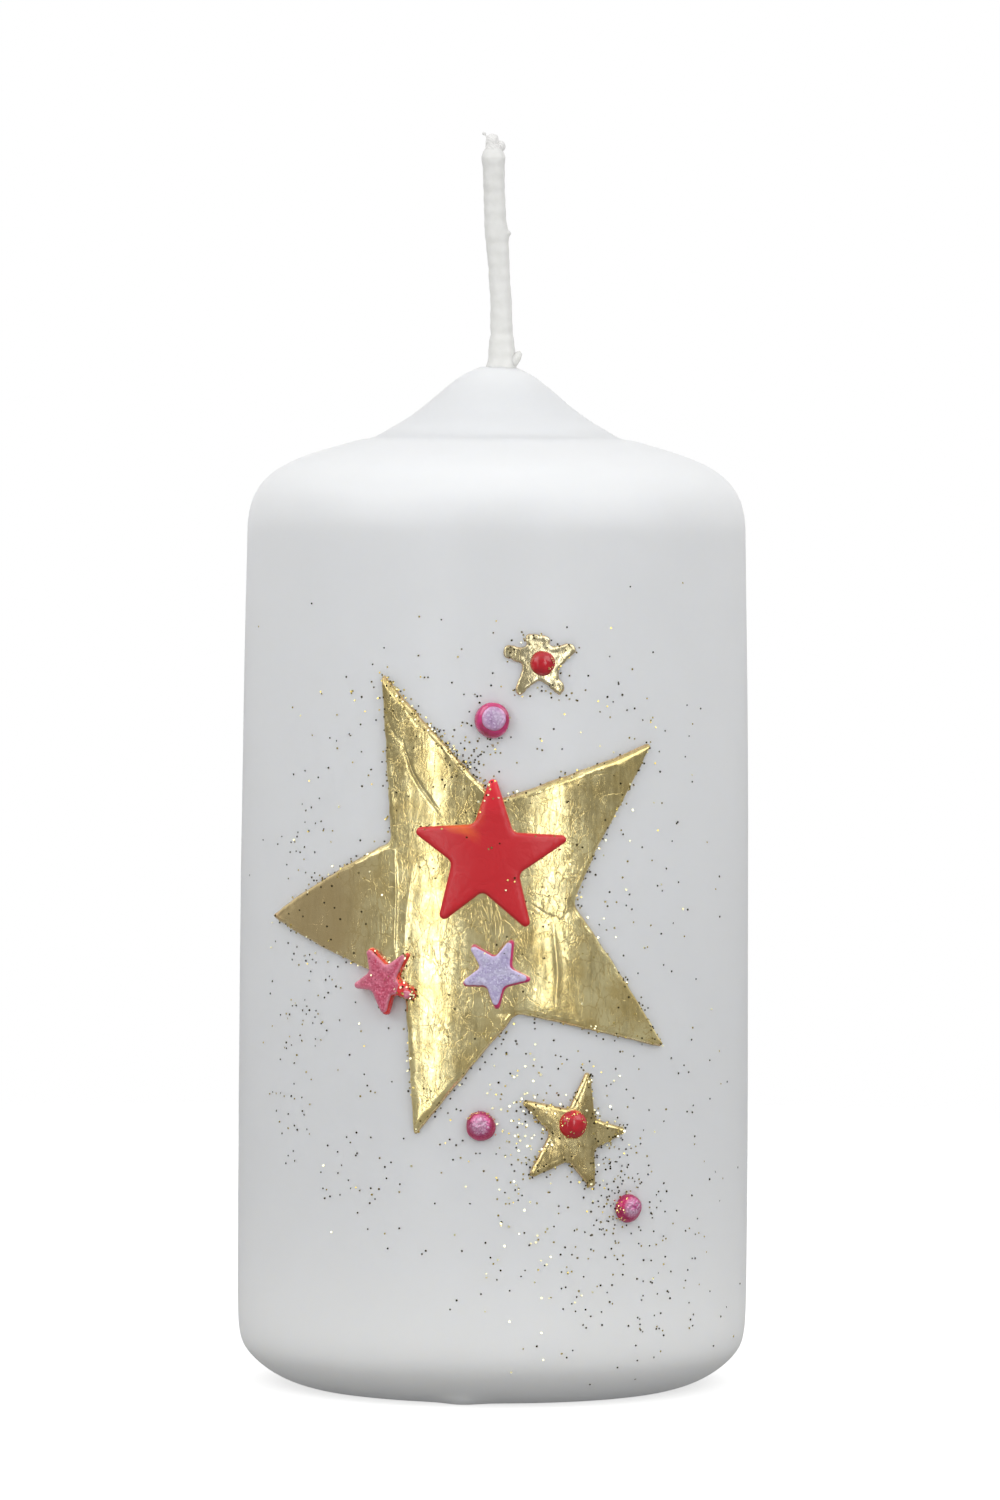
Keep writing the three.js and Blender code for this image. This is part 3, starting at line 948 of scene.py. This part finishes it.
def make_gold_star(name, node, loop, step, wax_top, rise, wax, film, seed, folds=()):
    """A sheet of wax with a gold film on it, which stands off the candle by rise."""
    sheet = plate(loop, 1.2, -0.05, rounded_rise(0.02, wax_top, 0.25), (0.12,), seed)
    new_piece(f"{name}_sheet", sheet[:2], wax, "sheet_wax", [f"{node}_wax_sheet"])
    film_loop = loop + (loop.mean(axis=0) - loop) * 0.004
    skin = plate(film_loop, step, 0.05, rise, (0.06, 0.16, 0.3, 0.48, 0.68, 0.9), seed + 1, folds)
    new_piece(f"{name}_film", skin, film, "gold_leaf", [f"{node}_gold_leaf"])
    covers.append((film_loop, rise))


def make_gold_stars():
    wax = sheet_wax()
    film = gold_film("gold_film", (0.95, 0.83, 0.44), (0.76, 0.60, 0.25))
    # painted shade: a darker copy of the gold film, for the lower star
    shaded_gold_film = gold_film("gold_film_painted_shade", (0.80, 0.67, 0.34), (0.52, 0.40, 0.17))
    worn = gold_film("gold_film_worn", (0.96, 0.89, 0.62), (0.74, 0.62, 0.34))
    large = cut_edge(rounded_outline(LARGE_STAR, 0.7, 0.8, 0.28), 0.10, 21)
    large_rise = crumpled_rise(0.12, 0.72, 0.75, FOLDS, 21)
    fold_paths = [path for path, _, _ in FOLDS]
    make_gold_star("large_gold_star", "large_star", large, 0.28, 0.3, large_rise, wax, film, 21, fold_paths)
    lower = cut_edge(rounded_outline(LOWER_SMALL_STAR, 1.3, 0.6, 0.2), 0.06, 33)
    lower_rise = crumpled_rise(0.12, 0.42, 0.35, [], 33, 0.45, 0.22)
    make_gold_star("lower_gold_star", "lower_small_star", lower, 0.2, 0.25, lower_rise, wax, shaded_gold_film, 33)
    upper = cut_edge(rounded_outline(UPPER_SMALL_STAR, 0.5, 0.7, 0.14), 0.24, 47)
    upper_rise = crumpled_rise(0.08, 0.24, 0.22, [], 47, 0.5)
    make_gold_star("upper_gold_star", "upper_small_star", upper, 0.18, 0.1, upper_rise, wax, worn, 47)


# ---- Wax stars ----

# How far the pearl stars' upright walls and tops stand off the candle.
PEARL_STAR_WALL = 0.62
PEARL_STAR_TOP = 1.62


def make_red_star():
    loop = rounded_outline(RED_STAR, 1.6, 0.6, 0.22)

    def rise(places, depth):
        pillow = 0.06 * np.minimum(1, depth / 2.5) + 0.03 * noise_over(places, 3.2, 2)
        return 0.72 + 0.62 * round_over(depth, 0.42) + pillow

    star = plate(loop, 0.4, 0.6, rise, (0.05, 0.13, 0.24, 0.38), 5)
    new_piece("red_wax_star", star[:2], red_star_wax(), "red_wax", ["red_star"])
    covers.append((loop, rise))


def shrunk(corners, factor, shift):
    """An outline drawn smaller about its middle, and shifted."""
    middle = [sum(corner[axis] for corner in corners) / len(corners) for axis in (0, 1)]
    return [tuple(middle[a] + (c[a] - middle[a]) * factor + shift[a] for a in (0, 1)) for c in corners]


def make_pearl_star(name, corners, film_corners, wax, film, slots, seed):
    """A star pressed from soft wax, with rounded arms and walls, under a skin of pearl film."""
    loop = rounded_outline(corners, 1.5, 0.6, 0.12)
    body_rise = rounded_rise(PEARL_STAR_WALL, PEARL_STAR_TOP, 0.42)
    body = plate(loop, 0.3, 0.55, body_rise, (0.05, 0.13, 0.24, 0.36), seed)
    new_piece(f"{name}_wax", body[:2], wax, slots[0], [f"{name}_body"])
    skin_loop = cut_edge(rounded_outline(film_corners, 1.3, 0.5, 0.12), 0.06, seed + 3)

    def rise(places, depth):
        return 1.58 + 0.14 * round_over(depth, 0.25) + 0.03 * noise_over(places, 1.1, seed)

    skin = plate(skin_loop, 0.22, 1.4, rise, (0.06, 0.15), seed + 1)
    new_piece(f"{name}_film", skin, film, slots[1], [f"{name}_pearl_skin"])
    covers.append((loop, rounded_rise(PEARL_STAR_WALL, PEARL_STAR_TOP + 0.04, 0.42)))


def make_pearl_stars():
    pink_wax = coloured_wax("pink_star_wax", (0.83, 0.035, 0.028), (0.66, 0.02, 0.03), 0.2, shine=0.6)
    magenta = coloured_wax("magenta_star_wax", (0.62, 0.025, 0.17), (0.40, 0.015, 0.11), 0.25, shine=0.4)
    pink_film = pearl("pink_pearl", (0.52, 0.045, 0.105), (0.68, 0.19, 0.28), (0.80, 0.36, 0.44), 0.5)
    lilac_film = pearl("lilac_pearl", (0.43, 0.37, 0.60), (0.66, 0.64, 0.80), (0.60, 0.46, 0.72), 0.5)
    film = shrunk(PINK_STAR, 0.92, (-0.10, 0.05))
    film[4:6] = FILM_EDGE
    make_pearl_star("pink_star", PINK_STAR, film, pink_wax, pink_film, ("pink_wax", "pink_pearl"), 61)
    chip_loop = rounded_outline(PEARL_CHIP, 0.3, 0.2, 0.08)
    chip = plate(chip_loop, 0.15, 1.4, rounded_rise(1.55, 1.72, 0.15), (0.05,), 62)
    new_piece("pink_film_chip", chip, pink_film, "pink_pearl", ["pink_star_pearl_chip"])
    film = shrunk(LILAC_STAR, 0.90, (-0.17, 0.07))
    make_pearl_star("lilac_star", LILAC_STAR, film, magenta, lilac_film, ("magenta_wax", "lilac_pearl"), 71)


# ---- Beads ----

# How far each bead's seat stands off the wax, and the bead's radius.
BEADS = {
    "upper_red_bead": (0.25, 1.45),
    "lower_red_bead": (0.5, 1.65),
    "upper_pink_bead": (0.0, 2.0),
    "lower_left_pink_bead": (0.0, 1.7),
    "lower_right_pink_bead": (0.0, 1.65),
}


def bead_seat(node):
    """A frame for a bead on the side: its Z points straight out of the candle."""
    low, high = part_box(node)
    middle = (low + high) / 2 / MM
    turn = atan2(middle.x, -middle.y)
    radius = side_radius(middle.z) + BEADS[node][0]
    place = Matrix.Translation((radius * sin(turn), -radius * cos(turn), middle.z))
    return place @ Matrix.Rotation(turn, 4, "Z") @ Matrix.Rotation(pi / 2, 4, "X")


def seated(part, seat):
    """A part moved from its own frame into its seat."""
    points, faces = part
    return [tuple(seat @ Vector(point)) for point in points], faces


def dome(radius, rise, power, steps):
    """Outline of a dome from its rim to its top."""
    turns = [pi / 2 * i / steps for i in range(steps + 1)]
    return [(radius * cos(turn) ** power, rise * sin(turn)) for turn in turns]


def lumpy(amount, size, seed, lean=(0.0, 0.0)):
    """A shaping function that swells a turned piece unevenly and leans its top over."""
    def shape(radius, height, turn):
        x, y = polar(radius, turn)
        swell = 1 + amount * noise_at(x, y, height, size=size, seed=seed)
        return x * swell + lean[0] * height, y * swell + lean[1] * height, height
    return shape


def make_red_beads():
    red = coloured_wax("red_bead_wax", (0.58, 0.005, 0.018), (0.36, 0.003, 0.010), 0.15, 1.5, shine=0.35)
    for seed, node in enumerate(("upper_red_bead", "lower_red_bead"), 1):
        radius = BEADS[node][1]
        outline = [(0, -0.2), (radius * 0.96, -0.2)] + dome(radius, radius * 0.85, 0.8, 20)
        body = seated(turned(outline, 48, lumpy(0.045, 1.2, seed)), bead_seat(node))
        new_piece(node.replace("bead", "pearl"), body, red, "red_wax", [node])


def make_pearl_bead(node, outline, cap_outline, shape, wax, film):
    """A bead with a cap of pearl film. The cap's rim nearness grows from its middle to its rim."""
    name = node.replace("pink", "magenta")
    seat = bead_seat(node)
    new_piece(name, seated(turned(outline, 56, shape), seat), wax, "magenta_wax", [node])
    widest = max(radius for radius, _ in cap_outline)
    edge = [min(1, hypot(x, y) / widest) ** 2 for x, y, _ in turned(cap_outline, 48)[0]]
    cap = (*seated(turned(cap_outline, 48, shape), seat), edge)
    new_piece(f"{name}_cap", cap, film, "lilac_pearl", [f"{node}_cap"])


def make_pearl_beads():
    wax = coloured_wax("magenta_bead_wax", (0.66, 0.03, 0.21), (0.34, 0.015, 0.08), 0.12, 1.2, shine=0.8)
    flat_film = pearl("bead_pearl", (0.40, 0.24, 0.44), (0.72, 0.60, 0.78), (0.60, 0.28, 0.48), 0.6, 0.4)
    upper = [(0, -0.1), (1.9, -0.1)]
    upper += curve_points((2.0, 0.1), (2.05, 0.75), (1.75, 1.15), (1.22, 1.24), 10)
    upper += [(0.6, 1.27), (0, 1.28)]
    cap = [(0, 1.2), (1.3, 1.15), (1.38, 1.22), (1.3, 1.3), (1.1, 1.35), (0.7, 1.39), (0, 1.4)]
    make_pearl_bead("upper_pink_bead", upper, cap, lumpy(0.05, 1.2, 3, (0.2, 0.24)), wax, flat_film)

    rose = pearl(
        "rose_bead_lacquer", (0.44, 0.015, 0.09), (0.62, 0.07, 0.20), (0.40, 0.012, 0.08), 0.6, 0.65,
    )
    soft_film = pearl(
        "bead_pearl_worn", (0.48, 0.07, 0.24), (0.80, 0.56, 0.72), (0.50, 0.02, 0.12), 1.0, 0.6, 0.2,
    )
    for node, lean, seed in (
        ("lower_left_pink_bead", (-0.06, 0.14), 4),
        ("lower_right_pink_bead", (-0.04, 0.12), 5),
    ):
        radius = BEADS[node][1]
        bulge = dome(radius, 0.8 * radius, 0.75, 20)
        outline = [(0, -0.1), (radius * 0.96, -0.1)] + bulge
        reach, height = bulge[9]
        cap = [(0, 0.8 * radius - 0.15), (reach - 0.05, height - 0.15), (reach, height)]
        cap += [(reach, height + 0.035) for reach, height in bulge[10:]]
        make_pearl_bead(node, outline, cap, lumpy(0.06, 1.1, seed, lean), rose, soft_film)


# ---- Glitter ----

FLAKE_THICKNESS = 0.04
# The bright flake colour is a painted glint; the middling and bead colours are the flakes' own gold.
PAINTED_GLINT_FLAKE = (1.0, 0.95, 0.62)
MIDDLING_FLAKE = (0.62, 0.50, 0.17)
# The dark flake colour is a painted dark reflection, standing in for the dim surroundings the gold flakes
# would mirror.
PAINTED_SHADE_FLAKE = (0.08, 0.06, 0.02)
BEAD_FLAKE = (0.95, 0.76, 0.32)

# Where loose flakes lie: middle (girth, height), spread each way, and how many.
CLOUDS = [
    ((15, 25.5), (2.4, 3.2), 130), ((13, 17), (6, 5.5), 110), ((24, 18), (5, 6), 38),
    ((18, 9), (7, 3.5), 30), ((3, 31), (2.2, 4.0), 96), ((-2, 33.5), (3.5, 3), 30),
    ((15, 33), (2.5, 3), 22), ((6, 40), (6, 3), 38), ((28, 36), (4, 5), 18),
    ((3, 20), (2.5, 6), 44), ((-8, 20), (4, 3), 12), ((-27, 32), (2.6, 3), 22),
    ((-17, 26), (4.5, 2.6), 34), ((-25, 46), (4, 6), 62), ((-23, 62), (4, 4), 38),
    ((-15, 79), (3, 4), 26), ((-2.4, 75), (1.9, 1.7), 78), ((2, 84), (7, 3.5), 62),
    ((19, 74), (4, 4), 20), ((19, 57), (5, 8), 38), ((0, 52), (24, 30), 46),
]
# Where flakes lie beside outlines: the outline, its first and last corner, how many, and their spread.
EDGE_FLAKES = [
    (LARGE_STAR, 0, len(LARGE_STAR), 240, 0.3),
    (LARGE_STAR, 0, 0.9, 120, 0.4),
    (UPPER_SMALL_STAR, 0, len(UPPER_SMALL_STAR), 34, 0.3),
    (LOWER_SMALL_STAR, 0, len(LOWER_SMALL_STAR), 150, 0.3),
    (RED_STAR, 8, 10, 26, 0.25),
    (PINK_STAR, 0, 6, 70, 0.18),
    (LILAC_STAR, 0, 2, 8, 0.3),
]


def flake(at, out, size, turn, tilt):
    """A thin hexagonal prism lying on the surface at a point."""
    side = Vector((0, 0, 1)).cross(out).normalized()
    basis = Matrix((side, out.cross(side), out)).transposed()
    lean = Matrix.Rotation(tilt[0], 3, "X") @ Matrix.Rotation(tilt[1], 3, "Y")
    stance = basis @ (lean @ Matrix.Rotation(turn, 3, "Z"))
    points = []
    for level in (0.0, FLAKE_THICKNESS):
        for k in range(6):
            local = Vector((*polar(size, pi * k / 3), level))
            points.append(tuple(at + stance @ local))
    faces = [(5, 4, 3, 2, 1, 0), (6, 7, 8, 9, 10, 11)]
    faces += [(k, (k + 1) % 6, 6 + (k + 1) % 6, 6 + k) for k in range(6)]
    return points, faces


def levels_at(places):
    """How far what covers the wax stands out at each place."""
    levels = np.zeros(len(places))
    for loop, rise in covers:
        covered = inside_loop(places, loop)
        part = places[covered]
        levels[covered] = np.maximum(levels[covered], rise(part, edge_distances(part, loop)))
    return levels


def along_outline(chance, corners, first, last, count, spread):
    """Random places beside the sides of an outline from one corner to another."""
    places = []
    for _ in range(count):
        position = chance.uniform(first, last)
        i = int(position)
        start, end = Vector(corners[i % len(corners)]), Vector(corners[(i + 1) % len(corners)])
        place = start.lerp(end, position - i)
        places.append((place.x + chance.gauss(0, spread), place.y + chance.gauss(0, spread)))
    return places


def glitter_places(chance):
    """Each flake's place on the rolled-out side, with whether it lies among the gold."""
    loose = []
    for (girth, height), (wide, tall), count in CLOUDS:
        loose += [(chance.gauss(girth, wide), chance.gauss(height, tall)) for _ in range(count)]
    among = []
    for row in EDGE_FLAKES:
        among += along_outline(chance, *row)
    among += [(chance.uniform(-28, 20), chance.uniform(33, 82)) for _ in range(240)]
    return [(place, False) for place in loose] + [(place, True) for place in among]


def flake_colour_and_painted_light(chance, girth, height, among_gold):
    """Most loose flakes get the painted dark reflection; more of those among the gold and beside the lower
    star get the pale painted glint, and the rest a middling gold.
    """
    beside_lower_star = height < 42 and -1 < girth < 7
    painted_glint_share = 0.16 if among_gold else 0.48 if beside_lower_star else 0.05
    middling_share = 0.4 if among_gold else 0.25
    shade = chance.random()
    if shade < painted_glint_share:
        return PAINTED_GLINT_FLAKE
    return MIDDLING_FLAKE if shade < painted_glint_share + middling_share else PAINTED_SHADE_FLAKE


# Flakes caught on a bead: the first and last turn round it, the highest climb, and how many.
BEAD_FLAKES = {
    "upper_red_bead": (-1.1, 0.8, 1.2, 12),
    "lower_red_bead": (0.0, 6.2, 1.2, 40),
    "lower_left_pink_bead": (0.3, 2.9, 0.6, 30),
    "lower_right_pink_bead": (2.0, 4.2, 0.9, 26),
}


def bead_flakes(chance):
    """The place and outward direction of each flake that is caught on a bead."""
    flakes = []
    for node, (first, last, highest, count) in BEAD_FLAKES.items():
        seat = bead_seat(node)
        radius = BEADS[node][1]
        for _ in range(count):
            turn = chance.uniform(first, last)
            climb = chance.uniform(0.1, highest)
            reach = 1.05 * radius * cos(climb) ** 0.8
            local = Vector((*polar(reach, turn), 0.87 * radius * sin(climb)))
            flakes.append((seat @ local, (seat.to_3x3() @ local).normalized()))
    return flakes


def make_glitter():
    chance = random.Random(2025)
    parts = []
    colours = []
    side = [place for place in pillar_outline(0, 30) if place[1] < CREASE_HEIGHT - 1]
    radii, heights = zip(*side)

    def wax_radius(height):
        return np.interp(height, heights, radii)

    def settle(at, out, size, tilt_spread, colour):
        tilt = (chance.gauss(0, tilt_spread), chance.gauss(0, tilt_spread))
        parts.append(flake(at, out, size, chance.uniform(0, pi), tilt))
        colours.extend([(*colour, 1.0)] * 12)

    scattered = glitter_places(chance)
    levels = levels_at(np.array([place for place, _ in scattered]))
    for ((girth, height), among_gold), level in zip(scattered, levels):
        if 2.5 < height < 98 and abs(girth) < 46:
            tucked = side_radius(height) - wax_radius(height)
            lean = (wax_radius(height + 0.3) - wax_radius(height)) / 0.3
            at = Vector(on_side(girth, height, level + 0.01 - tucked))
            out = Vector((at.x, at.y, -lean * hypot(at.x, at.y))).normalized()
            colour = flake_colour_and_painted_light(chance, girth, height, among_gold)
            # flakes with the painted glint colour are also tilted up to catch the light overhead
            if colour == PAINTED_GLINT_FLAKE:
                at += out * 0.05
                out = (out + Vector((0, 0, 0.5))).normalized()
                size = chance.uniform(0.105, 0.165)
            else:
                size = chance.uniform(0.095, 0.14)
            settle(at, out, size, 0.2, colour)
    for at, out in bead_flakes(chance):
        settle(at, out, 0.085, 0.3, BEAD_FLAKE)
    piece = new_piece("gold_glitter", joined(*parts), glitter(), "gold_leaf", smooth=False)
    layer = piece.data.color_attributes.new("flake_colour_and_painted_light", "FLOAT_COLOR", "POINT")
    layer.data.foreach_set("color", [value for colour in colours for value in colour])


# ---- Stage: camera, floor, light ----

CAMERA_PLACE = Vector((0.558, -900, 107.97))
LENS = 183.7
LOOK_DOWN = radians(2.137)
ROLL = radians(0.347)


def make_camera():
    """A long lens, a little below the candle's top, looking slightly down."""
    data = bpy.data.cameras.new("camera")
    data.sensor_width = 36
    data.lens = LENS
    camera = placed("camera", data)
    turn = Matrix.Rotation(pi / 2 - LOOK_DOWN, 4, "X") @ Matrix.Rotation(ROLL, 4, "Z")
    camera.matrix_world = Matrix.Translation(CAMERA_PLACE * MM) @ turn
    bpy.context.scene.camera = camera


def make_floor():
    """A plain pale floor that fades out far from the candle."""
    size = 3.0
    fade_start, fade_end = 150, 400
    corners = [(-size, -size, 0), (size, -size, 0), (size, size, 0), (-size, size, 0)]
    mesh = bpy.data.meshes.new("floor")
    mesh.from_pydata(corners, [], [(0, 1, 2, 3)])
    made = Surface("pale_floor")
    seen = made.node("ShaderNodeLightPath").outputs["Is Camera Ray"]
    reach = made.node("ShaderNodeVectorMath", {0: made.place}, operation="LENGTH").outputs["Value"]
    mesh.materials.append(made.finished(
        Base_Color=made.blend(seen, (0.10, 0.10, 0.10), (0.55, 0.55, 0.55)),
        Emission_Color=(1.0, 1.0, 1.0),
        Emission_Strength=made.between(seen, 0.0, 1.0, 0.24, 0.60),
        Alpha=made.between(reach, fade_start, fade_end, 1.0, 0.0),
        Roughness=0.9,
    ))
    placed("floor", mesh)


def area_light(name, place, target, size, power):
    data = bpy.data.lights.new(name, "AREA")
    data.shape = "RECTANGLE"
    data.size, data.size_y = size
    data.energy = power
    light = placed(name, data)
    light.location = place
    light.rotation_euler = (Vector(target) - Vector(place)).to_track_quat("-Z", "Y").to_euler()
    light.visible_camera = False


def round_the_candle(azimuth, distance, height):
    """A place this far from the candle; azimuth 0 is in front of it and grows to its right."""
    turn = radians(azimuth)
    return (distance * sin(turn), -distance * cos(turn), height)


def make_lights():
    """Two tall strips in front, and soft boxes over the top and to each side."""
    middle = (0, 0, 0.06)
    area_light("left_strip", round_the_candle(-26.5, 0.9, 0.12), middle, (0.10, 0.8), 1.02)
    area_light("right_strip", round_the_candle(24.5, 0.9, 0.30), middle, (0.13, 0.66), 0.98)
    area_light("top_box", (0, -0.14, 0.42), (0, 0, 0.1), (0.45, 0.45), 0.10)
    for name, azimuth in (("left_box", -55), ("right_box", 55)):
        area_light(name, round_the_candle(azimuth, 0.30, 0.26), (0, 0, 0.09), (0.25, 0.25), 0.37)


def make_surroundings():
    """White seen straight; as light, bright overhead and behind the candle, dim elsewhere."""
    dim, bright = 0.38, 0.87
    world = bpy.data.worlds.new("studio")
    world.use_nodes = True
    bpy.context.scene.world = world
    made = Nodes(world.node_tree)
    direction = made.node("ShaderNodeTexCoord").outputs["Generated"]
    across, back, up = made.node("ShaderNodeSeparateXYZ", {0: direction}).outputs
    azimuth = made.math("ARCTAN2", across, made.times(back, -1.0))
    behind = made.between(made.math("ABSOLUTE", azimuth), radians(95), radians(120))
    pale = made.larger(made.between(up, 0.26, 0.55), behind)
    above = made.between(up, -0.02, 0.0)
    level = made.between(above, 0, 1, dim, made.between(pale, 0, 1, dim, bright))
    lit, seen = [
        made.node("ShaderNodeBackground", {"Color": (1, 1, 1), "Strength": strength}).outputs[0]
        for strength in (level, 1.0)
    ]
    camera_ray = made.node("ShaderNodeLightPath").outputs["Is Camera Ray"]
    mixed = made.node("ShaderNodeMixShader", {0: camera_ray, 1: lit, 2: seen}).outputs[0]
    made.node("ShaderNodeOutputWorld", {"Surface": mixed})


bpy.context.scene.view_settings.view_transform = "Standard"
make_camera()
make_floor()
make_lights()
make_surroundings()
make_pillar()
make_wick()
make_sustainer()
make_gold_stars()
make_red_star()
make_pearl_stars()
make_red_beads()
make_pearl_beads()
make_glitter()
